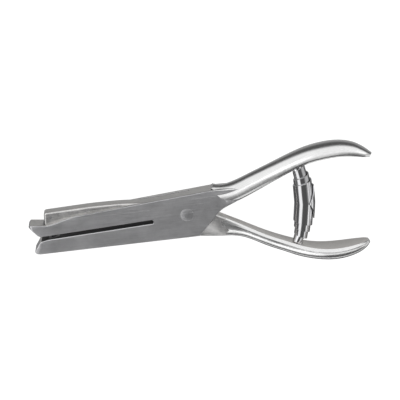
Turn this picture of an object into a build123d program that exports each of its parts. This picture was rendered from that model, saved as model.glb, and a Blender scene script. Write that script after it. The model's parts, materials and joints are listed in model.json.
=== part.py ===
from build123d import *
import os
from math import cos, hypot, radians, sin

# Long-throat hand punch, lying on its side.
#
# Everything is drawn about the pivot axis: +X runs from the jaws to the handles, +Y from
# the lower handle to the upper one and +Z across the thickness. The last step moves every
# piece so that the origin is at the bottom centre of the whole tool.

# ---- Driving dimensions, mm ----
BODY_THICK = 13.0            # frame, over its ground flats
CHANNEL_WIDTH = 8.6          # slot in the frame that the lever works in
LEVER_THICK = 8.5
EDGE_BREAK = 0.4             # bevel round the frame's flats

PUNCH_X = -84.0              # punch axis, ahead of the pivot
NOSE_X = -98.4
THROAT_END_X = -21.2         # closed end of the throat
THROAT_TOP_Y = 0.1
THROAT_GAP = 2.5
JAW_TIP_X = -97.1
NOSE_ROUND = 2.2             # corners of the nose, seen from above

ARM_TIP = (-87.7, 14.6)      # top front corner of the lever's arm
ARM_ROUND = 1.5
ARM_EDGE = 1.2
CHANNEL_FRONT_X = -89.3
CHANNEL_FLOOR_Y = 2.7
WEB_X = 3.65                 # face that the lever's shoulder stops against
HUB_RADIUS = 10.5
HUB_CLEARANCE = 0.5
STOP_GAP = 0.05              # between the lever's shoulder and that face, at rest
ARM_RECESS = 0.5             # lever's back edge below the frame's top edge
CUT_OVER = 0.5               # how far a cutter runs past the face it opens

PIVOT_DIA = 8.0
PIVOT_RUNNING = 0.03         # radial clearance of the lever on its pin

HOLE_DIA = 4.0               # hole that the tool punches
PUNCH_SETBACK = 0.3          # punch tip above the throat at rest
PUNCH_RUNNING = 0.05         # radial clearance of the punch in its guide and its die
PUNCH_NECK_Y = 7.0
PUNCH_TOP_Y = 12.9
PUNCH_HEAD_DIA = 5.2
LINK_DIA = 2.0
LINK_Y = 11.2
LINK_RUNNING = 0.06          # room above and below the link pin in the punch head
LINK_SLOT_X = (-1.7, 1.15)   # ends of the punch head's slot, from the punch axis
POCKET_X = (-3.2, 3.4)       # ends of the lever's pocket round the punch head
POCKET_WIDTH = 5.6
POCKET_TOP_Y = 13.4
BUSH_DIA = 7.0
DIE_HEIGHT = 4.0
DIE_LAND = 1.5               # length of the die's cutting bore
DIE_RELIEF_DIA = 4.6
CHIP_HOLE_DIA = 5.2

PEG_DIA = 4.0
PEG_STAND = 4.5              # peg height above the handle
PEG_DEPTH = 3.5              # peg length inside the handle

COIL_STRIP = 0.75            # thickness of the spring strip
COIL_GAP = 0.35              # room between one turn and the next
COIL_OVERLAP = 2.0           # how far a turn's wall reaches over its two neighbours, in all
COIL_SEAT_GAP = 0.15         # room between the spring's ends and the handles
MITRE_LENGTH = 8.0           # spare length of each spring end, cut off where the two meet
TRIM = 60.0                  # size of the block that trims the spring's ends

# ---- Outlines worked out from the driving dimensions ----
THROAT_FLOOR_Y = THROAT_TOP_Y - THROAT_GAP
TOP_RISE = 0.034             # slope of the frame's top edge
TOP_Y_AT_PIVOT = 12.6
BOTTOM_FALL = -0.040         # slope of the frame's bottom edge
BOTTOM_Y_AT_PIVOT = -14.85
STEM_SLOPE = -0.614          # slope of the lever's inner face behind the pivot
STEM_Y_AT_PIVOT = 7.4
STEM_CLEARANCE = 1.76        # room above the stem for the whole travel
STEM_BEVEL = 0.8

# Sections of the handles, from root to tip: a point on the inner face, the point
# straight across on the outside, and half the width.
UPPER_HANDLE = [
    ((8.0, 3.0), (7.0, 15.0), 7.2),
    ((22.5, 2.4), (20.5, 14.6), 7.4),
    ((33.0, 4.2), (30.0, 14.8), 7.6),
    ((45.2, 8.5), (41.8, 18.5), 7.4),
    ((57.1, 13.2), (53.6, 22.4), 7.5),
    ((68.7, 17.8), (65.8, 26.5), 8.0),
    ((79.8, 21.2), (77.8, 29.8), 8.7),
    ((90.0, 22.4), (89.4, 31.2), 9.1),
    ((99.2, 22.2), (100.5, 30.6), 8.4),
    ((107.0, 20.6), (109.4, 27.5), 6.9),
    ((113.0, 18.8), (115.4, 23.0), 4.9),
    ((116.9, 17.8), (118.6, 19.7), 2.6),
]
LOWER_HANDLE = [
    ((12.5, -0.3), (7.5, -14.0), 4.0),
    ((19.0, -4.3), (13.8, -18.0), 4.1),
    ((27.5, -9.5), (22.4, -19.5), 4.7),
    ((36.0, -14.9), (32.0, -21.8), 5.2),
    ((45.0, -20.6), (41.2, -27.0), 5.6),
    ((54.6, -25.8), (51.0, -32.7), 5.9),
    ((64.0, -30.4), (60.9, -37.9), 6.7),
    ((73.4, -34.0), (71.2, -42.2), 7.9),
    ((82.8, -36.0), (82.0, -44.8), 9.0),
    ((91.2, -36.6), (91.8, -45.2), 9.1),
    ((98.4, -36.5), (100.6, -43.6), 8.0),
    ((104.2, -36.2), (106.5, -40.8), 6.0),
    ((107.9, -35.9), (109.4, -37.8), 3.0),
]
INNER_HOLLOW = 0.5           # dish of the handles' inner faces
INNER_WIDTH = 0.95           # width of the inner face, as a share of the widest
HANDLE_WAIST = 0.2           # where a handle is widest, as a share of its depth from the inner face
INNER_BEVEL = 1.0            # bevel between a handle's inner face and its side

# The spring is bowed towards the handles' tips: its axis has a knee at the middle turn.
# From the knee out to each handle: how far each turn reaches, and its outside radius.
SPRING_KNEE = (72.4, -8.0)
UPPER_SEAT = (72.4, 18.9)    # where the spring's axis meets the upper handle
LOWER_SEAT = (65.9, -30.9)
UPPER_SEAT_SLOPE = 17.0      # slope of the handle there, in degrees
LOWER_SEAT_SLOPE = -22.0
UPPER_TURNS = [(11.4, 6.75), (15.5, 5.8), (19.8, 4.9), (32.0, 3.85)]
LOWER_TURNS = [(9.2, 6.75), (13.0, 5.7), (17.2, 4.9), (21.4, 4.1), (30.0, 3.4)]


def top_y(x):
    """Height of the frame's straight top edge at x."""
    return TOP_Y_AT_PIVOT + TOP_RISE * x


def bottom_y(x):
    """Height of the frame's straight bottom edge at x."""
    return BOTTOM_Y_AT_PIVOT + BOTTOM_FALL * x


def stem_y(x, lift=0.0):
    """Height of the lever's inner face behind the pivot at x."""
    return STEM_Y_AT_PIVOT + lift + STEM_SLOPE * x


def on_circle(radius, angle):
    """Point on a circle about the pivot, angle in degrees."""
    return (radius * cos(radians(angle)), radius * sin(radians(angle)))


def slab(face, thickness):
    """Face made into a plate centred on the mid-plane."""
    return extrude(face, thickness / 2, both=True)


def across(x, y, diameter, length):
    """Cylinder across the tool, centred on the mid-plane."""
    return Pos(x, y, 0) * Cylinder(diameter / 2, length)


def upright(y_low, y_high, diameter, x=PUNCH_X):
    """Cylinder standing along Y."""
    middle = Pos(x, (y_low + y_high) / 2, 0) * Rot(X=90)
    return middle * Cylinder(diameter / 2, y_high - y_low)


def rim(part, height):
    """Edges of a plate that lie in its two flats."""
    edges = part.edges()
    return edges.filter_by_position(Axis.Z, height - 0.001, height + 0.001) + \
        edges.filter_by_position(Axis.Z, -height - 0.001, -height + 0.001)


def handle_section(inner, outer, half_width):
    """D-shaped section: dished inner face, bevelled corners, straight sides, round back."""
    depth = hypot(outer[0] - inner[0], outer[1] - inner[1])
    bevel = min(INNER_BEVEL, depth / 9, half_width / 6)
    hollow = min(INNER_HOLLOW, depth / 20)
    waist = HANDLE_WAIST * depth
    side = INNER_WIDTH * half_width
    inner_face = ThreePointArc((0, bevel - side), (hollow, 0), (0, side - bevel))
    near_side = Polyline((0, side - bevel), (bevel, side), (waist, half_width))
    far_side = Polyline((waist, -half_width), (bevel, -side), (0, bevel - side))
    back = EllipticalCenterArc(
        (waist, 0), depth - waist, half_width, start_angle=-90, arc_size=180)
    face = make_face(Curve() + [inner_face, near_side, back, far_side])
    outward = Vector(outer[0] - inner[0], outer[1] - inner[1], 0)
    plane = Plane(origin=(*inner, 0), x_dir=outward, z_dir=outward.cross(Vector(0, 0, 1)))
    return plane * face


def handle(sections):
    """Forged handle through its sections."""
    return loft([handle_section(*section) for section in sections])


def ground_away(low_edge, lift, level):
    """Wedge that a wheel takes off a handle's root, on both sides of the tool.

    low_edge is the outline at the flat itself, and lift moves it outwards at the top.
    """
    reach = 4.0
    high_edge = low_edge.moved(Location((*lift, 0)))
    near = loft([Pos(0, 0, level) * low_edge, Pos(0, 0, level + reach) * high_edge])
    return near + near.mirror(Plane.XY)


def frame_outline():
    """Side view of the frame without its handle, throat included."""
    throat_radius = THROAT_GAP / 2
    throat_mid = THROAT_TOP_Y - throat_radius
    arc_x = THROAT_END_X - throat_radius
    heel = (5.6, bottom_y(5.6))
    v_start = (18.3, -2.9)
    nose_top = Polyline((NOSE_X, 7.5), (-97.3, 8.5), (-88.5, 7.0))
    rise = Spline((-88.5, 7.0), (-81.5, 7.7), (-75.0, 9.2), (-68.0, 10.2), (-60.0, top_y(-60)),
                  tangents=[(1, -0.1), (1, TOP_RISE)])
    top = Polyline((-60.0, top_y(-60)), (17.0, top_y(17.0)), (34.0, 12.0), (40.0, 12.0), (40.0, 8.4))
    crotch = Spline((40.0, 8.4), (35.5, 5.6), (30.4, 3.2), (25.8, 1.6), (21.6, -0.3), v_start,
                    tangents=[(-1, -0.65), (heel[0] - v_start[0], heel[1] - v_start[1])])
    under = Polyline(v_start, heel, (-94.3, bottom_y(-94.3)))
    toe = Polyline((-94.3, bottom_y(-94.3)), (-96.6, -10.4), (JAW_TIP_X, -8.9), (-93.2, -3.7),
                   (-92.2, -3.1), (-87.8, THROAT_FLOOR_Y), (arc_x, THROAT_FLOOR_Y))
    throat_end = ThreePointArc((arc_x, THROAT_FLOOR_Y), (THROAT_END_X, throat_mid),
                               (arc_x, THROAT_TOP_Y))
    nose_under = Polyline((arc_x, THROAT_TOP_Y), (-92.0, THROAT_TOP_Y), (-93.6, 0.9),
                          (-96.2, 4.4), (NOSE_X, 7.5))
    return make_face(Curve() + [nose_top, rise, top, crotch, under, toe, throat_end, nose_under])


def channel_outline():
    """Side view of the slot between the cheeks: lever arm, hub and stem."""
    radius = HUB_RADIUS + HUB_CLEARANCE
    floor_x = -(radius**2 - CHANNEL_FLOOR_Y**2)**0.5
    web_low = (10.61, stem_y(10.61, STEM_CLEARANCE))
    web_high = (WEB_X, (radius**2 - WEB_X**2)**0.5)
    heel_tangent = on_circle(radius, 218)
    front = Polyline((WEB_X, 25.0), (CHANNEL_FRONT_X, 25.0), (CHANNEL_FRONT_X, CHANNEL_FLOOR_Y),
                     (floor_x, CHANNEL_FLOOR_Y))
    hub_front = ThreePointArc((floor_x, CHANNEL_FLOOR_Y), on_circle(radius, 190), heel_tangent)
    mouth = Polyline(heel_tangent, (2.2, -16.8), (2.2, -30.0), (60.0, -40.0),
                     (60.0, stem_y(60.0, STEM_CLEARANCE)), web_low)
    hub_back = ThreePointArc(web_low, on_circle(radius, 45), web_high)
    return make_face(Curve() + [front, hub_front, mouth, hub_back, Line(web_high, (WEB_X, 25.0))])


def beyond_round_nose():
    """What is outside the nose's round corners, as seen from above the top edge."""
    length = 60.0
    plan = RectangleRounded(length, BODY_THICK, NOSE_ROUND)
    block = Pos(NOSE_X, 0, 0) * Box(4 * NOSE_ROUND, length, 2 * BODY_THICK)
    return block - Pos(NOSE_X + length / 2, 0, 0) * Rot(X=90) * extrude(
        plan, length, both=True)


def make_frame():
    """One forging: nose, upper and lower jaw, two cheeks and the upper handle."""
    plate = slab(frame_outline(), BODY_THICK)
    plate = chamfer(rim(plate, BODY_THICK / 2), EDGE_BREAK)
    plate -= beyond_round_nose()
    shoulder = Spline((16.0, 18.0), (18.6, 12.4), (21.8, 8.2), (25.0, 6.1), (29.0, 5.3),
                      (33.5, 5.2), (38.0, 5.3))
    flat = make_face(Curve() + [shoulder, Polyline((38.0, 5.3), (38.0, -8.0), (-10.0, -8.0),
                                                  (-10.0, 18.0), (16.0, 18.0))])
    top_flat = make_face(Polyline((-10.0, top_y(-10)), (17.0, top_y(17)), (18.6, 15.2),
                                  (19.0, 20.0), (-10.0, 20.0), close=True))
    body = plate + handle(UPPER_HANDLE)
    body -= ground_away(flat, (0.9, 0.9), BODY_THICK / 2)
    body -= slab(top_flat, 2 * BODY_THICK)
    body -= slab(channel_outline(), CHANNEL_WIDTH)
    body -= across(0, 0, PIVOT_DIA, 2 * BODY_THICK)
    body -= upright(THROAT_TOP_Y - CUT_OVER, CHANNEL_FLOOR_Y + CUT_OVER, BUSH_DIA)
    body -= upright(THROAT_FLOOR_Y - DIE_HEIGHT, THROAT_FLOOR_Y + CUT_OVER, BUSH_DIA)
    body -= upright(-20.0, THROAT_FLOOR_Y, CHIP_HOLE_DIA)
    return body - peg(UPPER_SEAT, SPRING_KNEE)


def lever_outline():
    """Side view of the lever's arm, hub and stem."""
    shoulder_x = WEB_X - STOP_GAP
    shoulder_low = (shoulder_x, (HUB_RADIUS**2 - shoulder_x**2)**0.5)
    stem_start = (10.42, stem_y(10.42))
    heel = on_circle(HUB_RADIUS, 218)
    arm_root = on_circle(HUB_RADIUS, 158)
    arm_top = Polyline((-88.5, 6.6), ARM_TIP, (-62.0, 14.3))
    fall = Spline((-62.0, 14.3), (-50.0, 13.8), (-38.0, 12.9), (-20.0, top_y(-20) - ARM_RECESS),
                  tangents=[(1, -0.01), (1, TOP_RISE)])
    back = Polyline((-20.0, top_y(-20) - ARM_RECESS), (shoulder_x, top_y(shoulder_x) - ARM_RECESS), shoulder_low)
    hub_back = ThreePointArc(shoulder_low, on_circle(HUB_RADIUS, 40), stem_start)
    stem = Polyline(stem_start, (24.0, stem_y(24.0)), (24.0, -15.0), (20.4, -18.0), (5.0, -15.5), heel)
    hub_front = ThreePointArc(heel, on_circle(HUB_RADIUS, 190), arm_root)
    arm_under = Polyline(arm_root, (-21.0, 4.0), (-80.0, 6.4), (-88.5, 6.6))
    return make_face(Curve() + [arm_top, fall, back, hub_back, stem, hub_front, arm_under])


def make_lever():
    """Arm in the frame's channel, hub round the pivot and the lower handle, in one piece."""
    arm = slab(lever_outline(), LEVER_THICK)
    tip_edge = arm.edges().filter_by(Axis.Z).sort_by_distance((*ARM_TIP, 0))[0]
    arm = fillet(tip_edge, ARM_ROUND)
    top_edges = rim(arm, LEVER_THICK / 2).filter_by(
        lambda edge: edge.center().X < -18 and edge.center().Y > 9)
    arm = fillet(top_edges, ARM_EDGE)
    stem_edges = rim(arm, LEVER_THICK / 2).filter_by(
        lambda edge: 12 < edge.center().X < 20 and edge.center().Y > -8)
    arm = chamfer(stem_edges, STEM_BEVEL)
    body = arm + handle(LOWER_HANDLE)
    heel = make_face(Polyline((-15.0, -12.3), (5.0, -15.5), (20.4, -18.0), (20.8, -22.0),
                              (-15.0, -25.0), close=True))
    body -= slab(heel, 2 * LEVER_THICK)
    body -= across(0, 0, PIVOT_DIA + 2 * PIVOT_RUNNING, 2 * BODY_THICK)
    body -= punch_pocket()
    body -= across(PUNCH_X, LINK_Y, LINK_DIA, 2 * LEVER_THICK)
    return body - peg(LOWER_SEAT, SPRING_KNEE)


def punch_pocket():
    """Pocket in the front of the lever, open below, that holds the punch head."""
    length = POCKET_X[1] - POCKET_X[0]
    middle = PUNCH_X + (POCKET_X[0] + POCKET_X[1]) / 2
    return Pos(middle, POCKET_TOP_Y - 5.0, 0) * Box(length, 10.0, POCKET_WIDTH)


def peg(foot, towards):
    """Stub that the end turn of the spring sits over, pressed into a handle."""
    axis = Vector(towards[0] - foot[0], towards[1] - foot[1], 0).normalized()
    plane = Plane(origin=(*foot, 0), z_dir=axis)
    middle = (PEG_STAND - PEG_DEPTH) / 2
    return plane * Pos(0, 0, middle) * Cylinder(PEG_DIA / 2, PEG_STAND + PEG_DEPTH)


def make_punch():
    """Round punch: cutting shank below, slotted head above."""
    tip_y = THROAT_TOP_Y + PUNCH_SETBACK
    body = upright(tip_y, PUNCH_NECK_Y, HOLE_DIA)
    body += upright(PUNCH_NECK_Y, PUNCH_TOP_Y, PUNCH_HEAD_DIA)
    slot_length = LINK_SLOT_X[1] - LINK_SLOT_X[0]
    slot_x = PUNCH_X + (LINK_SLOT_X[0] + LINK_SLOT_X[1]) / 2
    slot_height = LINK_DIA + 2 * LINK_RUNNING
    return body - Pos(slot_x, LINK_Y, 0) * Box(slot_length, slot_height, 2 * PUNCH_HEAD_DIA)


def make_guide():
    """Hardened bush in the floor of the upper jaw that guides the punch."""
    bore = HOLE_DIA + 2 * PUNCH_RUNNING
    bush = upright(THROAT_TOP_Y, CHANNEL_FLOOR_Y, BUSH_DIA)
    return bush - upright(THROAT_TOP_Y - 1, CHANNEL_FLOOR_Y + 1, bore)


def make_die():
    """Hardened bush in the lower jaw that the punch shears against."""
    bore = HOLE_DIA + 2 * PUNCH_RUNNING
    bottom = THROAT_FLOOR_Y - DIE_HEIGHT
    bush = upright(bottom, THROAT_FLOOR_Y, BUSH_DIA)
    bush -= upright(bottom - 1, THROAT_FLOOR_Y + 1, bore)
    return bush - upright(bottom - 1, THROAT_FLOOR_Y - DIE_LAND, DIE_RELIEF_DIA)


def stepped(table, inset, lap):
    """Half section of one end of the spring: the axis, then a step where each turn ends."""
    points = [(0, -MITRE_LENGTH), (table[0][1] - inset, -MITRE_LENGTH)]
    for (reach, radius), (_, smaller) in zip(table, table[1:]):
        points += [(radius - inset, reach + lap), (smaller - inset, reach + lap)]
    points += [(table[-1][1] - inset, table[-1][0]), (0, table[-1][0])]
    return make_face(Plane.XZ * Polyline(points, close=True))


def seat_direction(seat):
    """Unit vector from the spring's knee to one of its seats."""
    return Vector(seat[0] - SPRING_KNEE[0], seat[1] - SPRING_KNEE[1], 0).normalized()


def spring_end(table, seat, slope):
    """Turns from the knee to one handle, mitred at the knee and trimmed by the handle."""
    run = seat_direction(seat)
    outside = revolve(stepped(table, 0, COIL_OVERLAP / 2), Axis.Z)
    bore = revolve(stepped(table, COIL_STRIP + COIL_GAP, 0), Axis.Z)
    tube = Plane(origin=(*SPRING_KNEE, 0), z_dir=run) * (outside - bore)
    outward = 1 if run.Y > 0 else -1
    half = TRIM / 2
    beyond = Box(TRIM, TRIM, TRIM)
    tube -= Pos(*seat, 0) * Rot(Z=slope) * Pos(0, outward * (half - COIL_SEAT_GAP), 0) * beyond
    mitre = (seat_direction(UPPER_SEAT) - seat_direction(LOWER_SEAT)) * outward
    return tube - Plane(origin=(*SPRING_KNEE, 0), z_dir=mitre) * Pos(0, 0, -half) * beyond


def make_spring():
    """Double volute spring, wound from one strip, narrow at both ends."""
    return spring_end(UPPER_TURNS, UPPER_SEAT, UPPER_SEAT_SLOPE) + \
        spring_end(LOWER_TURNS, LOWER_SEAT, LOWER_SEAT_SLOPE)


def make_pieces():
    """Every piece by node name, still drawn about the pivot axis."""
    return {
        "frame": make_frame(),
        "lever": make_lever(),
        "pivot_pin": across(0, 0, PIVOT_DIA, BODY_THICK),
        "punch": make_punch(),
        "punch_link_pin": across(PUNCH_X, LINK_Y, LINK_DIA, LEVER_THICK),
        "punch_guide": make_guide(),
        "die": make_die(),
        "upper_spring_peg": peg(UPPER_SEAT, SPRING_KNEE),
        "lower_spring_peg": peg(LOWER_SEAT, SPRING_KNEE),
        "return_spring": make_spring(),
    }


pieces = make_pieces()
box = Compound(list(pieces.values())).bounding_box()
origin = Vector(box.center().X, box.center().Y, box.min.Z)
print("pivot at", -origin, "size", box.size)
os.makedirs("parts", exist_ok=True)
for name, piece in pieces.items():
    export_step(Location(-origin) * piece, f"parts/{name}.step")
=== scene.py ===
"""Long-throat hand punch: the finished look of every piece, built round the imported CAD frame.

The jaws and the two forged handles are the CAD solids with their doubles merged and their
ground edges kept crisp. The return spring is wound here from one strip, as a surface of two
parameters: the angle along the coil, and the place round the strip's section.
"""
import json
import logging
import math
from dataclasses import dataclass, field
from enum import Enum

import bmesh
import bpy
import numpy as np
from mathutils import Matrix, Vector

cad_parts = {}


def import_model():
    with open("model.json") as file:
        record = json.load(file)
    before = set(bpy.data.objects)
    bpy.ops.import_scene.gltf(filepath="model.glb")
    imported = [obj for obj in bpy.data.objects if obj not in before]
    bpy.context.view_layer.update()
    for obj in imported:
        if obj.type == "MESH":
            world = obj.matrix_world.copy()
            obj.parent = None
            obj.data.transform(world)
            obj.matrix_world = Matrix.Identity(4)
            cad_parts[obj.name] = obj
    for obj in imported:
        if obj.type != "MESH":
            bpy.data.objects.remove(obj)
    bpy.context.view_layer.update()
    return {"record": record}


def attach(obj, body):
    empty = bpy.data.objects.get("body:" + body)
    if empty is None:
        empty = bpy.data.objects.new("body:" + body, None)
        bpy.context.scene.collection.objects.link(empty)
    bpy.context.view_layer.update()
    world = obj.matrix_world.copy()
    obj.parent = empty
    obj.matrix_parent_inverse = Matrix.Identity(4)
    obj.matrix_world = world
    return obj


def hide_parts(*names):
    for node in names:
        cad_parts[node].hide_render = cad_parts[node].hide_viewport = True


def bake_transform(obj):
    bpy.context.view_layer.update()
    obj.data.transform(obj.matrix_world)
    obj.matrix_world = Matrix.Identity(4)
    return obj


LOG = logging.getLogger("hand_punch")
MM = 0.001
MERGE_WITHIN = 1e-6          # metres between doubles of one point
FLAT = 0.9999                # how far a face of a ground flat points along Z, at least


class Body(Enum):
    """The CAD bodies that pieces ride on."""

    FRAME = "frame_body"
    LEVER = "lever_body"
    PUNCH = "punch_body"


class Lay(Enum):
    """Which way the wheel marks run on a piece, as a turn about Z in degrees."""

    JAWS = -2.0
    UPPER_HANDLE = 18.0
    LOWER_HANDLE = -26.0
    UPRIGHT = 90.0


# ---------------------------------------------------------------- shader effects

class Effect:
    """A node group with named inputs and outputs, which several finishes share."""

    def __init__(self, name: str, inputs: dict[str, float | None], outputs: list[str]) -> None:
        """Make the empty group.

        Args:
            name: The group's name.
            inputs: Default value by input name, or None where the input is a vector.
            outputs: Names of the value outputs.
        """
        self.tree = bpy.data.node_groups.new(name, "ShaderNodeTree")
        for label, default in inputs.items():
            kind = "NodeSocketVector" if default is None else "NodeSocketFloat"
            socket = self.tree.interface.new_socket(label, in_out="INPUT", socket_type=kind)
            if default is not None:
                socket.default_value = default
        for label in outputs:
            self.tree.interface.new_socket(label, in_out="OUTPUT", socket_type="NodeSocketFloat")
        self.given = self.tree.nodes.new("NodeGroupInput")
        self.result = self.tree.nodes.new("NodeGroupOutput")

    def node(self, kind: str, **settings: object) -> bpy.types.Node:
        """Add a node and set its properties.

        Args:
            kind: The node's type.
            **settings: Properties of the node.

        Returns:
            The new node.
        """
        made = self.tree.nodes.new(kind)
        for key, value in settings.items():
            setattr(made, key, value)
        return made

    def link(self, source: bpy.types.NodeSocket, target: bpy.types.NodeSocket) -> None:
        """Join two sockets."""
        self.tree.links.new(source, target)

    def maths(self, operation: str, *terms: object) -> bpy.types.NodeSocket:
        """Add a Math node.

        Args:
            operation: The node's operation.
            *terms: Sockets or numbers, in order.

        Returns:
            The node's value output.
        """
        made = self.node("ShaderNodeMath", operation=operation)
        for place, term in enumerate(terms):
            if isinstance(term, bpy.types.NodeSocket):
                self.link(term, made.inputs[place])
            else:
                made.inputs[place].default_value = term
        return made.outputs[0]

    def noise(self, vector: bpy.types.NodeSocket, scale: object, detail: float,
              roughness: float = 0.55) -> bpy.types.NodeSocket:
        """Add a noise texture.

        Args:
            vector: Where the noise is read.
            scale: A socket or a number.
            detail: Octaves.
            roughness: How much the fine octaves count.

        Returns:
            The noise value, from 0 to 1.
        """
        made = self.node("ShaderNodeTexNoise")
        self.link(vector, made.inputs["Vector"])
        if isinstance(scale, bpy.types.NodeSocket):
            self.link(scale, made.inputs["Scale"])
        else:
            made.inputs["Scale"].default_value = scale
        made.inputs["Detail"].default_value = detail
        made.inputs["Roughness"].default_value = roughness
        return made.outputs["Fac"]


def painted_edge_highlight_effect() -> bpy.types.NodeTree:
    """Mask of the edges that get a painted highlight: a lighter colour laid along them.

    A rounded normal leans away from the true one only near an edge, so one minus their dot
    product is the nearness to an edge. Noise breaks the line up.

    Returns:
        The group: Vector, Radius, Gain and Breaks in, Mask out.
    """
    effect = Effect("painted_edge_highlight", {"Vector": None, "Radius": 0.0004, "Gain": 4.0, "Breaks": 0.4},
                    ["Mask"])
    bevel = effect.node("ShaderNodeBevel", samples=6)
    effect.link(effect.given.outputs["Radius"], bevel.inputs["Radius"])
    true_normal = effect.node("ShaderNodeNewGeometry").outputs["Normal"]
    dot = effect.node("ShaderNodeVectorMath", operation="DOT_PRODUCT")
    effect.link(bevel.outputs["Normal"], dot.inputs[0])
    effect.link(true_normal, dot.inputs[1])
    lean = effect.maths("SUBTRACT", 1.0, dot.outputs["Value"])
    strong = effect.maths("MULTIPLY", lean, effect.given.outputs["Gain"])
    noise = effect.noise(effect.given.outputs["Vector"], 260.0, 3.0)
    loss = effect.maths("MULTIPLY", noise, effect.given.outputs["Breaks"])
    kept = effect.maths("SUBTRACT", 1.0, loss)
    mask = effect.node("ShaderNodeClamp")
    effect.link(effect.maths("MULTIPLY", strong, kept), mask.inputs[0])
    effect.link(mask.outputs[0], effect.result.inputs["Mask"])
    return effect.tree


def wheel_grain_effect() -> bpy.types.NodeTree:
    """Marks of a grinding wheel: noise drawn out along the first axis of the vector.

    Returns:
        The group: Vector, Fineness and Length in; Grain and Scratch out.
    """
    effect = Effect("wheel_grain", {"Vector": None, "Fineness": 2600.0, "Length": 45.0},
                    ["Grain", "Scratch"])
    squeeze = effect.node("ShaderNodeCombineXYZ")
    inverse = effect.maths("DIVIDE", 1.0, effect.given.outputs["Length"])
    effect.link(inverse, squeeze.inputs["X"])
    squeeze.inputs["Y"].default_value = 1.0
    squeeze.inputs["Z"].default_value = 1.0
    drawn = effect.node("ShaderNodeVectorMath", operation="MULTIPLY")
    effect.link(effect.given.outputs["Vector"], drawn.inputs[0])
    effect.link(squeeze.outputs[0], drawn.inputs[1])
    grain = effect.noise(drawn.outputs["Vector"], effect.given.outputs["Fineness"], 4.0, 0.65)
    coarse_scale = effect.maths("MULTIPLY", effect.given.outputs["Fineness"], 0.31)
    coarse = effect.noise(drawn.outputs["Vector"], coarse_scale, 2.0)
    scratch = effect.node("ShaderNodeMapRange", interpolation_type="SMOOTHSTEP")
    effect.link(coarse, scratch.inputs["Value"])
    scratch.inputs["From Min"].default_value = 0.58
    scratch.inputs["From Max"].default_value = 0.72
    effect.link(grain, effect.result.inputs["Grain"])
    effect.link(scratch.outputs["Result"], effect.result.inputs["Scratch"])
    return effect.tree


def cloud_effect() -> bpy.types.NodeTree:
    """Slow unevenness of a hand-finished surface: two sizes of noise, mixed.

    Returns:
        The group: Vector and Size in, Cloud out.
    """
    effect = Effect("hand_finish", {"Vector": None, "Size": 70.0}, ["Cloud"])
    wide = effect.noise(effect.given.outputs["Vector"], effect.given.outputs["Size"], 2.0)
    close_scale = effect.maths("MULTIPLY", effect.given.outputs["Size"], 5.5)
    close = effect.noise(effect.given.outputs["Vector"], close_scale, 3.0)
    part = effect.maths("MULTIPLY", close, 0.4)
    effect.link(effect.maths("MULTIPLY_ADD", wide, 0.6, part), effect.result.inputs["Cloud"])
    return effect.tree


@dataclass
class Effects:
    """The shared effects, each built once."""

    painted_edge_highlight: bpy.types.NodeTree = field(default_factory=painted_edge_highlight_effect)
    wheel_grain: bpy.types.NodeTree = field(default_factory=wheel_grain_effect)
    hand_finish: bpy.types.NodeTree = field(default_factory=cloud_effect)


# ---------------------------------------------------------------- finishes

Colour = tuple[float, float, float]


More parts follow.
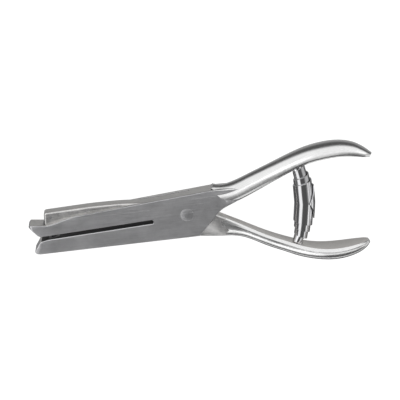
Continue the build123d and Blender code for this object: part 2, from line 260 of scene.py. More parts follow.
@dataclass(frozen=True)
class SteelFinish:
    """One finish of bare steel, as a set of numbers for the shared effects."""

    name: str
    dark: Colour
    light: Colour
    # colour of the painted highlight along edges; edge_radius, edge_gain and edge_breaks shape
    # it
    edge: Colour
    roughness: tuple[float, float]
    lay: Lay = Lay.JAWS
    fineness: float = 2600.0
    length: float = 45.0
    relief: float = 0.00003
    cloud_size: float = 70.0
    cloud_share: float = 0.5
    edge_radius: float = 0.0004
    edge_gain: float = 3.0
    edge_breaks: float = 0.4
    anisotropic: float = 0.0

    def material(self, effects: Effects) -> bpy.types.Material:
        """Build the finish's material.

        Args:
            effects: The shared node groups.

        Returns:
            The material, on Object coordinates.
        """
        if self.name in bpy.data.materials:
            return bpy.data.materials[self.name]
        made = bpy.data.materials.new(self.name)
        made.use_nodes = True
        made.diffuse_color = (*self.light, 1.0)
        tree = made.node_tree
        nodes, link = tree.nodes, tree.links.new
        shader = nodes["Principled BSDF"]
        shader.inputs["Metallic"].default_value = 1.0
        shader.inputs["Anisotropic"].default_value = self.anisotropic
        place = nodes.new("ShaderNodeTexCoord").outputs["Object"]
        turn = nodes.new("ShaderNodeMapping")
        turn.inputs["Rotation"].default_value = (0.0, 0.0, math.radians(-self.lay.value))
        link(place, turn.inputs["Vector"])
        grain = self._place(tree, effects.wheel_grain, turn.outputs["Vector"],
                            Fineness=self.fineness, Length=self.length)
        cloud = self._place(tree, effects.hand_finish, place, Size=self.cloud_size)
        # mask of the painted edge highlight
        edge = self._place(tree, effects.painted_edge_highlight, place, Radius=self.edge_radius,
                           Gain=self.edge_gain, Breaks=self.edge_breaks)
        tone = nodes.new("ShaderNodeMix")
        tone.inputs["Factor"].default_value = self.cloud_share
        link(grain.outputs["Grain"], tone.inputs["A"])
        link(cloud.outputs["Cloud"], tone.inputs["B"])
        spread = nodes.new("ShaderNodeMapRange")
        spread.inputs["From Min"].default_value = 0.36
        spread.inputs["From Max"].default_value = 0.64
        link(tone.outputs["Result"], spread.inputs["Value"])
        shade = self._mix_colours(tree, spread.outputs["Result"], self.dark, self.light)
        # painted highlight: the edge mask mixes the lighter edge colour into the base colour
        edge_highlighted = self._mix_colours(tree, edge.outputs["Mask"], shade, self.edge)
        link(edge_highlighted, shader.inputs["Base Color"])
        rough = nodes.new("ShaderNodeMapRange")
        rough.inputs["To Min"].default_value = self.roughness[0]
        rough.inputs["To Max"].default_value = self.roughness[1]
        link(spread.outputs["Result"], rough.inputs["Value"])
        link(rough.outputs["Result"], shader.inputs["Roughness"])
        height = nodes.new("ShaderNodeMath")
        height.operation = "SUBTRACT"
        link(grain.outputs["Grain"], height.inputs[0])
        link(grain.outputs["Scratch"], height.inputs[1])
        bump = nodes.new("ShaderNodeBump")
        bump.inputs["Distance"].default_value = self.relief
        link(height.outputs[0], bump.inputs["Height"])
        link(bump.outputs["Normal"], shader.inputs["Normal"])
        return made

    @staticmethod
    def _place(tree: bpy.types.NodeTree, group: bpy.types.NodeTree,
               vector: bpy.types.NodeSocket, **values: float) -> bpy.types.Node:
        """Put a shared effect in a material.

        Args:
            tree: The material's nodes.
            group: The effect.
            vector: Coordinates for it.
            **values: This finish's own values, by input name.

        Returns:
            The group node.
        """
        made = tree.nodes.new("ShaderNodeGroup")
        made.node_tree = group
        tree.links.new(vector, made.inputs["Vector"])
        for key, value in values.items():
            made.inputs[key].default_value = value
        return made

    @staticmethod
    def _mix_colours(tree: bpy.types.NodeTree, factor: bpy.types.NodeSocket,
                     first: object, second: object) -> bpy.types.NodeSocket:
        """Mix two colours, each of them a socket or three numbers.

        Args:
            tree: The material's nodes.
            factor: Share of the second colour.
            first: Colour at factor 0.
            second: Colour at factor 1.

        Returns:
            The mixed colour.
        """
        made = tree.nodes.new("ShaderNodeMix")
        made.data_type = "RGBA"
        tree.links.new(factor, made.inputs["Factor"])
        sockets = [s for s in made.inputs if s.type == "RGBA"]
        for socket, colour in zip(sockets, (first, second)):
            if isinstance(colour, bpy.types.NodeSocket):
                tree.links.new(colour, socket)
            else:
                socket.default_value = (*colour, 1.0)
        return next(s for s in made.outputs if s.type == "RGBA")


JAW_STEEL = SteelFinish(
    "jaw_steel", (0.42, 0.42, 0.43), (0.52, 0.52, 0.53), (0.88, 0.88, 0.87), (0.34, 0.42))
# painted light: a lighter copy of the jaw steel for the narrow faces on the upper side, lighter
# because of how the light falls
TOP_LIT_STEEL = SteelFinish(
    "top_painted_light", (0.58, 0.57, 0.56), (0.78, 0.77, 0.75), (0.95, 0.95, 0.93), (0.36, 0.46))
# painted shade: a near-black copy for the faces inside the throat slot, where shadow falls
SLOT_SHADE_STEEL = SteelFinish(
    "slot_painted_shade", (0.035, 0.035, 0.036), (0.10, 0.10, 0.10), (0.4, 0.4, 0.4), (0.45, 0.6))
ARM_STEEL = SteelFinish(
    "arm_steel", (0.42, 0.42, 0.42), (0.66, 0.65, 0.64), (0.92, 0.91, 0.89), (0.30, 0.42),
    cloud_size=160.0, cloud_share=0.65)
HANDLE_STEEL = SteelFinish(
    "handle_steel", (0.60, 0.60, 0.60), (0.72, 0.72, 0.72), (0.92, 0.92, 0.91), (0.15, 0.24),
    lay=Lay.UPPER_HANDLE, length=80.0, relief=0.00001, cloud_share=0.35)
LOWER_HANDLE_STEEL = SteelFinish(
    "lower_handle_steel", (0.60, 0.60, 0.60), (0.72, 0.72, 0.72), (0.92, 0.92, 0.91),
    (0.15, 0.24), lay=Lay.LOWER_HANDLE, length=80.0, relief=0.00001, cloud_share=0.35)
# painted reflection: a lighter copy for the handles' inner faces, standing in for the pale floor
# they would mirror
PALM_REFLECTION_STEEL = SteelFinish(
    "palm_painted_reflection", (0.78, 0.76, 0.73), (0.90, 0.88, 0.86), (0.95, 0.94, 0.92), (0.40, 0.50),
    lay=Lay.LOWER_HANDLE)
TOOL_STEEL = SteelFinish(
    "tool_steel", (0.28, 0.28, 0.29), (0.42, 0.42, 0.43), (0.8, 0.8, 0.8), (0.25, 0.36),
    lay=Lay.UPRIGHT)
PEG_STEEL = SteelFinish(
    "peg_steel", (0.50, 0.50, 0.51), (0.68, 0.68, 0.68), (0.9, 0.9, 0.9), (0.2, 0.3),
    lay=Lay.UPRIGHT)
SPRING_STEEL = SteelFinish(
    "spring_steel", (0.55, 0.55, 0.56), (0.72, 0.72, 0.73), (0.95, 0.95, 0.95), (0.12, 0.20),
    edge_radius=0.0002, relief=0.000006)


# ---------------------------------------------------------------- pieces

@dataclass
class GroundPart:
    """A CAD node with its doubles merged, smooth except across its ground edges."""

    node: str
    body: Body
    slot: str
    finish: SteelFinish
    crease: float = 28.0

    def build(self, effects: Effects, pivot: np.ndarray) -> bpy.types.Object:
        """Copy the node's mesh, merge it, mark the edges that stay sharp and dress it.

        Args:
            effects: The shared node groups.
            pivot: The pivot axis in the row frame, in metres.

        Returns:
            The piece, which stands for the node.
        """
        mesh = bpy.data.meshes.new(self.node + "_ground")
        work = bmesh.new()
        work.from_mesh(bpy.data.objects[self.node].data)
        bmesh.ops.remove_doubles(work, verts=work.verts, dist=MERGE_WITHIN)
        work.to_mesh(mesh)
        work.free()
        mesh.materials.clear()
        mesh.polygons.foreach_set("use_smooth", np.ones(len(mesh.polygons), dtype=bool))
        mesh.set_sharp_from_angle(angle=math.radians(self.crease))
        piece = bpy.data.objects.new(self.node + "_piece", mesh)
        bpy.context.scene.collection.objects.link(piece)
        self.dress(mesh, effects, pivot)
        self.set_normals(piece, pivot)
        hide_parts(self.node)
        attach(piece, self.body.value)
        return piece

    def dress(self, mesh: bpy.types.Mesh, effects: Effects, pivot: np.ndarray) -> None:
        """Give the whole piece its one finish."""
        mesh.materials.append(self.finish.material(effects))

    def set_normals(self, piece: bpy.types.Object, pivot: np.ndarray) -> None:
        """Keep wide faces flat: every corner's normal follows its largest faces.

        Args:
            piece: The piece, with its sharp edges marked.
            pivot: The pivot axis in the row frame, in metres.
        """
        flats = piece.modifiers.new("flats", "WEIGHTED_NORMAL")
        flats.keep_sharp = True
        flats.weight = 100
        graph = bpy.context.evaluated_depsgraph_get()
        weighted = piece.evaluated_get(graph).to_mesh()
        normals = np.empty(len(weighted.loops) * 3)
        weighted.corner_normals.foreach_get("vector", normals)
        piece.modifiers.remove(flats)
        piece.data.normals_split_custom_set(self.corner_normals(
            piece.data, normals.reshape(-1, 3), pivot))

    def corner_normals(self, mesh: bpy.types.Mesh, normals: np.ndarray,
                       pivot: np.ndarray) -> np.ndarray:
        """The weighted normals as they are."""
        return normals


Section = tuple[tuple[float, float], tuple[float, float], float]


class Strip(Enum):
    """Strips that a handle's D-shaped section is made of."""

    PALM = 0
    BEVEL = 1
    BACK = 2


@dataclass(frozen=True)
class HandleForm:
    """Smooth surface of a forged handle, for its highlights.

    Each section is the point on the inner face, the point straight across on the outside,
    and half the width. Between sections every size follows a Catmull-Rom curve. In the search
    for the nearest sample, two opposite normals are twice turn_counts_as millimetres apart.
    """

    sections: tuple[Section, ...]
    bevel: float = 1.0
    hollow: float = 0.5
    waist: float = 0.2
    inner_width: float = 0.95
    along: int = 120
    across: int = 13
    turn_counts_as: float = 4.0
    batch: int = 2000

    def sizes(self) -> np.ndarray:
        """Sizes along the handle.

        Returns:
            Inner x and y, outer x and y, and half width, shape (along, 5).
        """
        table = np.array([(*inner, *outer, half) for inner, outer, half in self.sections])
        table = np.vstack([2 * table[0] - table[1], table, 2 * table[-1] - table[-2]])
        place = np.linspace(0.0, len(self.sections) - 1.001, self.along)
        cell = place.astype(int)
        t = (place - cell)[:, None]
        p0, p1, p2, p3 = (table[cell + k] for k in range(4))
        return 0.5 * (2 * p1 + (p2 - p0) * t + (2 * p0 - 5 * p1 + 4 * p2 - p3) * t ** 2
                      + (3 * p1 - p0 - 3 * p2 + p3) * t ** 3)

    def samples(self) -> dict[str, np.ndarray]:
        """Points over the whole surface, and how it turns at each.

        Returns:
            For each sample: its point in millimetres from the pivot, its outward normal, the
            steps of both to the next sample along and across, and its Strip value.
        """
        size = self.sizes()
        inner, outer, half = size[:, 0:2], size[:, 2:4], size[:, 4:5]
        depth = np.linalg.norm(outer - inner, axis=1, keepdims=True)
        bevel = np.minimum(self.bevel, np.minimum(depth / 9, half / 6))
        hollow = np.minimum(self.hollow, depth / 20)
        side, waist = self.inner_width * half, self.waist * depth
        t = np.linspace(0.0, 1.0, self.across)[None, :]
        swing = np.pi * (0.5 - t)
        face = (side - bevel) * (2 * t - 1)
        strips = [
            (Strip.PALM, hollow * (1 - (2 * t - 1) ** 2), face),
            (Strip.BEVEL, bevel * t, side - bevel + bevel * t),
            (Strip.BEVEL, bevel * t, -(side - bevel + bevel * t)),
            (Strip.BACK, bevel + (waist - bevel) * t, side + (half - side) * t),
            (Strip.BACK, bevel + (waist - bevel) * t, -(side + (half - side) * t)),
            (Strip.BACK, waist + (depth - waist) * np.cos(swing), half * np.sin(swing)),
        ]
        outward = (outer - inner) / depth
        middle = np.concatenate([(inner + outer) / 2, 0 * half], axis=1)[:, None, :]
        found: dict[str, list[np.ndarray]] = {
            "point": [], "normal": [], "along": [], "across": [], "bend": [], "curl": []}
        kinds = []
        for kind, deep, wide in strips:
            flat = inner[:, None, :] + outward[:, None, :] * deep[..., None]
            point = np.concatenate([flat, wide[..., None]], axis=-1)
            along, across = np.gradient(point, axis=0), np.gradient(point, axis=1)
            normal = np.cross(along, across)
            normal /= np.linalg.norm(normal, axis=-1, keepdims=True) + 1e-12
            normal *= np.sign(np.sum(normal * (point - middle), axis=-1, keepdims=True))
            bend, curl = np.gradient(normal, axis=0), np.gradient(normal, axis=1)
            for key, grid in zip(found, (point, normal, along, across, bend, curl)):
                found[key].append(grid.reshape(-1, 3))
            kinds.append(np.full(point.shape[0] * point.shape[1], kind.value))
        result = {key: np.concatenate(grids) for key, grids in found.items()}
        result["strip"] = np.concatenate(kinds)
        return result

    def nearest(self, points: np.ndarray, normals: np.ndarray) -> tuple[
            np.ndarray, np.ndarray, np.ndarray]:
        """The surface's normal beside each given point, from the nearest like-facing sample.

        The point's offset from that sample, measured in steps along and across the surface,
        carries the normal on to the point itself.

        Args:
            points: Points in millimetres from the pivot.
            normals: Their normals.

        Returns:
            The surface's normal, its strip, and the distance in millimetres, with the turn
            between the two normals counted in.
        """
        known = self.samples()
        weight = self.turn_counts_as
        near = np.hstack([known["point"], known["normal"] * weight]).astype(np.float32)
        asked = np.hstack([points, normals * weight]).astype(np.float32)
        square = np.sum(near ** 2, axis=1)
        best = np.concatenate([
            np.argmin(square[None, :] - 2 * part @ near.T, axis=1)
            for part in np.array_split(asked, max(1, len(asked) // self.batch))])
        gap = np.linalg.norm(asked - near[best], axis=1)
        offset = points - known["point"][best]
        normal = known["normal"][best].copy()
        for step, turn in (("along", "bend"), ("across", "curl")):
            stride = known[step][best]
            steps = np.sum(offset * stride, axis=1) / (np.sum(stride ** 2, axis=1) + 1e-9)
            normal += np.clip(steps, -1.0, 1.0)[:, None] * known[turn][best]
        normal /= np.linalg.norm(normal, axis=1, keepdims=True)
        return normal, known["strip"][best], gap


class Zone(Enum):
    """Zones of a forging, by the place of their finish among its materials."""

    GROUND = 0
    HANDLE = 1
    PALM = 2
    TOP = 3
    SLOT = 4


@dataclass
class ForgedPart(GroundPart):
    """A forging whose jaw end is ground flat and whose handle is polished."""

    handle_finish: SteelFinish | None = None
    palm_reflection_finish: SteelFinish | None = None
    top_lit_finish: SteelFinish | None = None
    slot_shade_finish: SteelFinish | None = None
    throat_end_x: float = -20.5
    throat_y: tuple[float, float] = (-2.9, 0.25)
    root_x: float = 17.0
    faces_up: float = 0.8
    faces_edgeways: float = 0.3
    form: HandleForm | None = None
    nearness: float = 1.6

    def dress(self, mesh: bpy.types.Mesh, effects: Effects, pivot: np.ndarray) -> None:
        """Give each zone its finish: everything past the root is polished, apart from flats; the
        palm, up-facing and slot zones take painted reflection, light and shade.

        Args:
            mesh: The piece's mesh.
            effects: The shared node groups.
            pivot: The pivot axis in the row frame, in metres.
        """
        for finish in (self.finish, self.handle_finish, self.palm_reflection_finish, self.top_lit_finish,
                       self.slot_shade_finish):
            mesh.materials.append(finish.material(effects))
        count = len(mesh.polygons)
        normal, centre = np.empty(count * 3), np.empty(count * 3)
        mesh.polygons.foreach_get("normal", normal)
        mesh.polygons.foreach_get("center", centre)
        normal, centre = normal.reshape(-1, 3), (centre.reshape(-1, 3) - pivot) / MM
        flat = np.abs(normal[:, 2]) > FLAT
        beyond = (centre[:, 0] > self.root_x) & ~flat
        _, strip, gap = self.form.nearest(centre, normal)
        # painted reflection: the palm faces get the lighter copy
        palm = beyond & (gap < self.nearness) & (strip == Strip.PALM.value)
        # painted light: faces turned towards +Y before the root get the lighter copy
        top = ~beyond & (normal[:, 1] > self.faces_up)
        # painted shade: edgeways faces inside the throat slot get the near-black copy
        low, high = self.throat_y
        slot = (centre[:, 0] < self.throat_end_x) & (centre[:, 1] > low) & \
            (centre[:, 1] < high) & (np.abs(normal[:, 2]) < self.faces_edgeways)
        index = np.select([slot, palm, beyond, top],
                          [Zone.SLOT.value, Zone.PALM.value, Zone.HANDLE.value, Zone.TOP.value],
                          Zone.GROUND.value).astype(np.int32)
        mesh.polygons.foreach_set("material_index", index)

    def corner_normals(self, mesh: bpy.types.Mesh, normals: np.ndarray,
                       pivot: np.ndarray) -> np.ndarray:
        """Take the handle's normals from its smooth surface.

        Args:
            mesh: The piece's mesh.
            normals: The weighted normal of every face corner.
            pivot: The pivot axis in the row frame, in metres.

        Returns:
            The normals, with those on the handle replaced.
        """
        corners = len(mesh.loops)
        vertex = np.empty(corners, dtype=np.int32)
        mesh.loops.foreach_get("vertex_index", vertex)
        place = np.empty(len(mesh.vertices) * 3)
        mesh.vertices.foreach_get("co", place)
        place = (place.reshape(-1, 3)[vertex] - pivot) / MM
        facing = np.empty(len(mesh.polygons) * 3)
        mesh.polygons.foreach_get("normal", facing)
        facing = np.repeat(facing.reshape(-1, 3), 3, axis=0)
        smooth, _, gap = self.form.nearest(place, facing)
        on_handle = (gap < self.nearness) & (place[:, 0] > self.root_x) & \
            (np.abs(facing[:, 2]) < FLAT)
        return np.where(on_handle[:, None], smooth, normals)


@dataclass
class TurnedPart:
    """A turned piece in place of a CAD node: a profile carried round a straight axis."""

    node: str
    body: Body
    slot: str
    finish: SteelFinish
    foot: tuple[float, float, float]
    head: tuple[float, float, float]
    profile: tuple[tuple[float, float], ...]
    around: int = 72

    def build(self, effects: Effects, pivot: np.ndarray) -> bpy.types.Object:
        """Carry the profile, pairs of height and radius, round the axis.

        Args:
            effects: The shared node groups.
            pivot: The pivot axis in the row frame, in metres.

        Returns:
            The piece, which stands for the node.
        """
        foot, head = np.array(self.foot), np.array(self.head)
        way = (head - foot) / np.linalg.norm(head - foot)
        helper = np.array([0.0, 0.0, 1.0]) if abs(way[2]) < 0.9 else np.array([1.0, 0.0, 0.0])
        first = np.cross(way, helper)
        first /= np.linalg.norm(first)
        second = np.cross(way, first)
        height, radius = np.array(self.profile).T[:, :, None]
        angle = np.linspace(0, 2 * np.pi, self.around, endpoint=False)[None, :]
        points = foot + way * height[..., None] + radius[..., None] * (
            first * np.cos(angle)[..., None] + second * np.sin(angle)[..., None])
        piece = solid_from_grids(self.node + "_turned", [points * MM + pivot])
        piece.data.materials.append(self.finish.material(effects))
        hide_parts(self.node)
        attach(piece, self.body.value)
        return piece


@dataclass(frozen=True)
class SpringArm:
    """One arm of the strip, from the outside turn in to its handle.

    Tables hold a value at each whole turn, outside first: the strip's outer radius, and the
    height of its free edge along the axis, from the upper handle (0) to the lower one (1).
    """

    name: str
    radii: tuple[float, ...]
    edges: tuple[float, ...]
    ground: tuple[float, float]
    slope: float


@dataclass
class VoluteSpring:
    """The return spring: a strip cut to a V, wound from its ends in to a double cone.

    The point of the V lies outside, halfway up. One arm climbs to the upper handle and the
    other falls to the lower one, each turn inside the last, and the ends are ground flat.
    """

    knee: tuple[float, float] = (72.95, -4.6)
    top: tuple[float, float] = (72.4, 18.7)
    foot: tuple[float, float] = (65.9, -30.75)
    middle: float = 0.515
    thick: float = 0.7
    tip_turn: float = 0.17
    lap: float = 0.19
    broken_edge: float = 0.12
    tip_flare: float = 0.8
    tip_width: float = 0.04
    follow_over: float = 0.6
    steps_per_turn: int = 72
    arms: tuple[SpringArm, SpringArm] = (
        SpringArm("rising", (6.75, 5.85, 4.95, 3.95, 3.75), (0.31, 0.225, 0.14, 0.0, -0.12),
                  (72.4, 18.75), 17.0),
        SpringArm("falling", (6.75, 5.85, 4.95, 4.15, 3.45), (0.715, 0.79, 0.87, 0.95, 1.1),
                  (65.9, -30.75), -22.0))

    def axis(self, share: np.ndarray) -> tuple[np.ndarray, np.ndarray]:
        """Bowed axis: the parabola through the two ends and the knee.

        Args:
            share: Way down the axis, from 0 to 1.

        Returns:
            The points and the unit directions, each with a last axis of 2.
        """
        top, foot, knee = (np.array(point) for point in (self.top, self.foot, self.knee))
        control = 2 * knee - (top + foot) / 2
        s = share[..., None]
        point = (1 - s) ** 2 * top + 2 * s * (1 - s) * control + s ** 2 * foot
        way = 2 * (1 - s) * (control - top) + 2 * s * (foot - control)
        return point, way / np.linalg.norm(way, axis=-1, keepdims=True)

    def arm_points(self, arm: SpringArm) -> np.ndarray:
        """Grid of one arm: turn by place round the strip's section.

        The free edge runs from the V's point to the arm's table of heights, and the other
        edge lies on the middle line for one turn and then follows the free edge.

        Args:
            arm: The arm's tables.

        Returns:
            Points in millimetres from the pivot, shape (rows, 8, 3).
        """
        last = len(arm.radii) - 1
        count = int((last + self.tip_turn) * self.steps_per_turn) + 1
        turn = np.linspace(-self.tip_turn, last, count)
        whole = np.arange(last + 1)
        radius = np.interp(turn, whole, arm.radii) + self.tip_flare * np.clip(-turn, 0, None)
        free = np.interp(turn, whole, arm.edges)
        point_share = np.clip((turn + self.tip_turn) / self.tip_turn, self.tip_width, 1.0)
        free = self.middle + (free - self.middle) * point_share
        follow = np.clip((turn - 1.0) / self.follow_over, 0.0, 1.0)
        sign = np.sign(self.middle - arm.edges[0])
        inside = free + sign * self.lap
        held = self.middle * (1 - follow) + inside * follow
        t, e = self.thick / 2, self.broken_edge
        offsets = np.array([t, t, t - e, e - t, -t, -t, e - t, t - e])
        along = np.array([0.0, 1.0, 1.0, 1.0, 1.0, 0.0, 0.0, 0.0])
        length = float(np.hypot(self.top[0] - self.foot[0], self.top[1] - self.foot[1]))
        bevel = e / length * np.array([1.0, -1.0, 0.0, 0.0, -1.0, 1.0, 0.0, 0.0])
        joined = (along < 0.5) if sign < 0 else (along > 0.5)
        inset = bevel * np.where(joined, follow[:, None], 1.0)
        low, high = np.minimum(free, held), np.maximum(free, held)
        share = low[:, None] + (high - low)[:, None] * along + inset
        point, way = self.axis(share)
        side = np.stack([-way[..., 1], way[..., 0]], axis=-1)
        angle = 2 * np.pi * turn[:, None]
        reach = radius[:, None] - t + offsets
        x = point[..., 0] + side[..., 0] * reach * np.cos(angle)
        y = point[..., 1] + side[..., 1] * reach * np.cos(angle)
        ground = arm.ground[1] + math.tan(math.radians(arm.slope)) * (x - arm.ground[0])
        y = np.minimum(y, ground) if sign > 0 else np.maximum(y, ground)
        return np.stack([x, y, -reach * np.sin(angle)], axis=-1)

    def build(self, pivot: np.ndarray) -> bpy.types.Object:
        """Wind both arms as one piece.

        Args:
            pivot: The pivot axis in the row frame, in metres.

        Returns:
            The spring, wound between the two handles.
        """
        grids = [self.arm_points(arm) * MM + pivot for arm in self.arms]
        piece = solid_from_grids("return_spring_strip", grids)
        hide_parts("return_spring")
        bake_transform(piece)
        return piece


def solid_from_grids(name: str, grids: list[np.ndarray],
                     crease: float = 30.0) -> bpy.types.Object:
    """Closed shells from grids whose columns close up and whose end rows are capped.

    Args:
        name: The object's name.
        grids: Rows of section points, in metres, each of shape (rows, columns, 3).
        crease: Angle in degrees from which an edge stays sharp.

    Returns:
        The object, linked to the scene.
    """
    faces: list[list[int]] = []
    first = 0
    for points in grids:
        rows, columns, _ = points.shape
        index = first + np.arange(rows * columns).reshape(rows, columns)
        after = np.roll(index, -1, axis=1)
        quads = np.stack([index[:-1], index[1:], after[1:], after[:-1]], axis=-1)
        faces += quads.reshape(-1, 4).tolist()
        faces += [index[0].tolist(), index[-1][::-1].tolist()]
        first += rows * columns
    mesh = bpy.data.meshes.new(name)
    mesh.from_pydata(np.concatenate([g.reshape(-1, 3) for g in grids]).tolist(), [], faces)
    work = bmesh.new()
    work.from_mesh(mesh)
    bmesh.ops.dissolve_degenerate(work, edges=work.edges, dist=1e-7)
    bmesh.ops.recalc_face_normals(work, faces=work.faces)
    work.to_mesh(mesh)
    work.free()
    mesh.polygons.foreach_set("use_smooth", np.ones(len(mesh.polygons), dtype=bool))
    mesh.set_sharp_from_angle(angle=math.radians(crease))
    piece = bpy.data.objects.new(name, mesh)
    bpy.context.scene.collection.objects.link(piece)
    return piece


# ---------------------------------------------------------------- studio

@dataclass(frozen=True)
class Panel:
    """A soft panel of light, far off: where it is, how far it reaches and how bright it is.

    The reach is a half angle in degrees, along X and across it, and the edge is how far the
    light takes to fade.
    """

    name: str
    towards: tuple[float, float, float]
    reach: tuple[float, float]
    edge: float
    glow: float


@dataclass
class Studio:
    """Floor, surrounding panels of light, and camera."""

    target: tuple[float, float, float] = (9.16, 6.16, 0.0)
    towards: tuple[float, float, float] = (0.0526, 0.3213, 0.9455)
    image_up: tuple[float, float, float] = (0.153, 0.933, -0.326)
    distance: float = 2.0
    lens: float = 290.3
    sensor: float = 36.0
    sees_to: float = 20.0
    floor_drop: float = 0.0002
    floor_reach: float = 3.0
    floor_grey: float = 0.25
    floor_glow: float = 0.93
    dusk: float = 0.12
    panels: tuple[Panel, ...] = (
        Panel("behind_upper_handle", (0.0, 0.75, 0.66), (75.0, 44.0), 14.0, 1.15),
        Panel("before_lower_handle", (0.0, -0.76, 0.65), (60.0, 6.0), 6.0, 1.3),
        Panel("low_before", (0.0, -0.95, -0.30), (70.0, 7.0), 6.0, 1.0),
        Panel("beside_spring", (-0.60, -0.32, 0.73), (17.0, 45.0), 6.0, 1.3),
        Panel("past_the_tips", (0.93, -0.25, 0.25), (22.0, 40.0), 14.0, 0.55),
        Panel("under", (0.0, 0.25, -1.0), (60.0, 22.0), 18.0, 0.35),
    )

    def build(self, pivot: np.ndarray) -> None:
        """Set up everything round the object.

        Args:
            pivot: The pivot axis in the row frame, in metres.
        """
        self._floor()
        self._surroundings()
        self._camera(pivot)

    def _floor(self) -> None:
        """Plain pale floor, lit evenly from below so that it stays plain."""
        mesh = bpy.data.meshes.new("floor")
        reach, level, grey = self.floor_reach, -self.floor_drop, self.floor_grey
        mesh.from_pydata([(-reach, -reach, level), (reach, -reach, level),
                          (reach, reach, level), (-reach, reach, level)], [], [(0, 1, 2, 3)])
        floor = bpy.data.objects.new("floor", mesh)
        bpy.context.scene.collection.objects.link(floor)
        material = bpy.data.materials.new("floor_paper")
        material.use_nodes = True
        shader = material.node_tree.nodes["Principled BSDF"]
        shader.inputs["Base Color"].default_value = (grey, grey, grey, 1.0)
        shader.inputs["Roughness"].default_value = 1.0
        shader.inputs["Specular IOR Level"].default_value = 0.0
        shader.inputs["Emission Color"].default_value = (1.0, 1.0, 1.0, 1.0)
        shader.inputs["Emission Strength"].default_value = self.floor_glow
        mesh.materials.append(material)
        floor.visible_glossy = False
        floor.visible_shadow = False

    def _surroundings(self) -> None:
        """Dusky room with soft panels of light, drawn on the sky by direction.

        For each panel, the direction is measured along three axes: towards the panel, along X
        and across it. The light is full inside the reach and fades over the edge.
        """
        world = bpy.data.worlds.new("studio")
        world.use_nodes = True
        tree = world.node_tree
        nodes, link = tree.nodes, tree.links.new
        direction = nodes.new("ShaderNodeTexCoord").outputs["Generated"]

        def maths(operation: str, *terms: object) -> bpy.types.NodeSocket:
            """Math node on sockets or numbers."""
            made = nodes.new("ShaderNodeMath")
            made.operation = operation
            for place, term in enumerate(terms):
                if isinstance(term, bpy.types.NodeSocket):
                    link(term, made.inputs[place])
                else:
                    made.inputs[place].default_value = term
            return made.outputs[0]

        def along(axis: Vector) -> bpy.types.NodeSocket:
            """Share of the direction that lies along an axis."""
            made = nodes.new("ShaderNodeVectorMath")
            made.operation = "DOT_PRODUCT"
            link(direction, made.inputs[0])
            made.inputs[1].default_value = axis
            return made.outputs["Value"]

        def window(away: bpy.types.NodeSocket, ahead: bpy.types.NodeSocket, reach: float,
                   edge: float) -> bpy.types.NodeSocket:
            """1 within the reach of the panel's middle, 0 past its soft edge."""
            turn = maths("ABSOLUTE", maths("ARCTAN2", away, ahead))
            made = nodes.new("ShaderNodeMapRange")
            made.interpolation_type = "SMOOTHSTEP"
            link(turn, made.inputs["Value"])
            made.inputs["From Min"].default_value = math.radians(reach + edge)
            made.inputs["From Max"].default_value = math.radians(max(reach - edge, 0.0))
            return made.outputs["Result"]

        total: bpy.types.NodeSocket | float = self.dusk
        for panel in self.panels:
            middle = Vector(panel.towards).normalized()
            level = (Vector((1, 0, 0)) - middle * middle.x).normalized()
            across = middle.cross(level)
            ahead = along(middle)
            lit = maths("MULTIPLY", window(along(level), ahead, panel.reach[0], panel.edge),
                        window(along(across), ahead, panel.reach[1], panel.edge))
            total = maths("MULTIPLY_ADD", lit, panel.glow, total)
        background = nodes["Background"]
        link(total, background.inputs["Strength"])
        background.inputs["Color"].default_value = (1.0, 1.0, 1.0, 1.0)
        bpy.context.scene.world = world

    def _camera(self, pivot: np.ndarray) -> None:
        """Long lens, looking a little from above the upper handle.

        Args:
            pivot: The pivot axis in the row frame, in metres.
        """
        data = bpy.data.cameras.new("camera")
        data.lens = self.lens
        data.sensor_width = self.sensor
        data.clip_end = self.sees_to
        camera = bpy.data.objects.new("camera", data)
        back = Vector(self.towards).normalized()
        up = Vector(self.image_up)
        up = (up - back * up.dot(back)).normalized()
        right = up.cross(back)
        target = Vector(pivot) + Vector(self.target) * MM
        turn = Matrix((right, up, back)).transposed().to_4x4()
        camera.matrix_world = Matrix.Translation(target + back * self.distance) @ turn
        bpy.context.scene.collection.objects.link(camera)
        bpy.context.scene.camera = camera
        bpy.context.scene.view_settings.view_transform = "Standard"


# ---------------------------------------------------------------- the whole tool

UPPER_FORM = HandleForm((
    ((8.0, 3.0), (7.0, 15.0), 7.2),
    ((22.5, 2.4), (20.5, 14.6), 7.4),
    ((33.0, 4.2), (30.0, 14.8), 7.6),
    ((45.2, 8.5), (41.8, 18.5), 7.4),
    ((57.1, 13.2), (53.6, 22.4), 7.5),
    ((68.7, 17.8), (65.8, 26.5), 8.0),
    ((79.8, 21.2), (77.8, 29.8), 8.7),
    ((90.0, 22.4), (89.4, 31.2), 9.1),
    ((99.2, 22.2), (100.5, 30.6), 8.4),
    ((107.0, 20.6), (109.4, 27.5), 6.9),
    ((113.0, 18.8), (115.4, 23.0), 4.9),
    ((116.9, 17.8), (118.6, 19.7), 2.6),
))
LOWER_FORM = HandleForm((
    ((12.5, -0.3), (7.5, -14.0), 4.0),
    ((19.0, -4.3), (13.8, -18.0), 4.1),
    ((27.5, -9.5), (22.4, -19.5), 4.7),
    ((36.0, -14.9), (32.0, -21.8), 5.2),
    ((45.0, -20.6), (41.2, -27.0), 5.6),
    ((54.6, -25.8), (51.0, -32.7), 5.9),
    ((64.0, -30.4), (60.9, -37.9), 6.7),
    ((73.4, -34.0), (71.2, -42.2), 7.9),
    ((82.8, -36.0), (82.0, -44.8), 9.0),
    ((91.2, -36.6), (91.8, -45.2), 9.1),
    ((98.4, -36.5), (100.6, -43.6), 8.0),
    ((104.2, -36.2), (106.5, -40.8), 6.0),
    ((107.9, -35.9), (109.4, -37.8), 3.0),
))

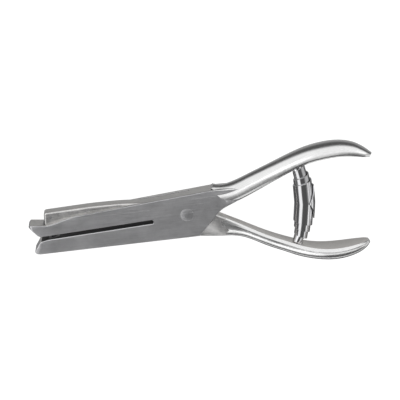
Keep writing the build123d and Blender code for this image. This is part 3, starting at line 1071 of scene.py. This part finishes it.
PARTS: list[GroundPart | TurnedPart] = [
    ForgedPart("frame", Body.FRAME, "frame_steel", JAW_STEEL, handle_finish=HANDLE_STEEL,
               palm_reflection_finish=PALM_REFLECTION_STEEL, top_lit_finish=TOP_LIT_STEEL, slot_shade_finish=SLOT_SHADE_STEEL,
               root_x=17.5, form=UPPER_FORM),
    ForgedPart("lever", Body.LEVER, "lever_steel", ARM_STEEL, handle_finish=LOWER_HANDLE_STEEL,
               palm_reflection_finish=PALM_REFLECTION_STEEL, top_lit_finish=TOP_LIT_STEEL, slot_shade_finish=SLOT_SHADE_STEEL,
               root_x=20.0, form=LOWER_FORM),
    TurnedPart("pivot_pin", Body.FRAME, "frame_steel", JAW_STEEL,
               (0.0, 0.0, -6.505), (0.0, 0.0, 6.505),
               ((0.0, 3.98), (0.02, 4.05), (12.99, 4.05), (13.01, 3.98))),
    GroundPart("punch_guide", Body.FRAME, "tool_steel", TOOL_STEEL),
    GroundPart("die", Body.FRAME, "tool_steel", TOOL_STEEL),
    GroundPart("punch", Body.PUNCH, "tool_steel", TOOL_STEEL),
    TurnedPart("punch_link_pin", Body.LEVER, "lever_steel", TOOL_STEEL,
               (-84.0, 11.2, -4.25), (-84.0, 11.2, 4.25),
               ((0.0, 0.85), (0.12, 1.0), (8.38, 1.0), (8.5, 0.85))),
    GroundPart("upper_spring_peg", Body.FRAME, "peg_steel", PEG_STEEL),
    GroundPart("lower_spring_peg", Body.LEVER, "peg_steel", PEG_STEEL),
]


def main() -> None:
    """Load the frame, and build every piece."""
    logging.basicConfig(level=logging.INFO, format="%(message)s")
    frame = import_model()
    hinge = next(j for j in frame["record"]["behaviour"]["joints"] if j["name"] == "lever_hinge")
    pivot = np.array(hinge["pos_m"])
    Studio().build(pivot)
    effects = Effects()
    for part in PARTS:
        piece = part.build(effects, pivot)
        LOG.info("%s: %d faces", piece.name, len(piece.data.polygons))
    spring = VoluteSpring().build(pivot)
    spring.data.materials.append(SPRING_STEEL.material(effects))
    LOG.info("%s: %d faces", spring.name, len(spring.data.polygons))


if __name__ == "__main__":
    main()
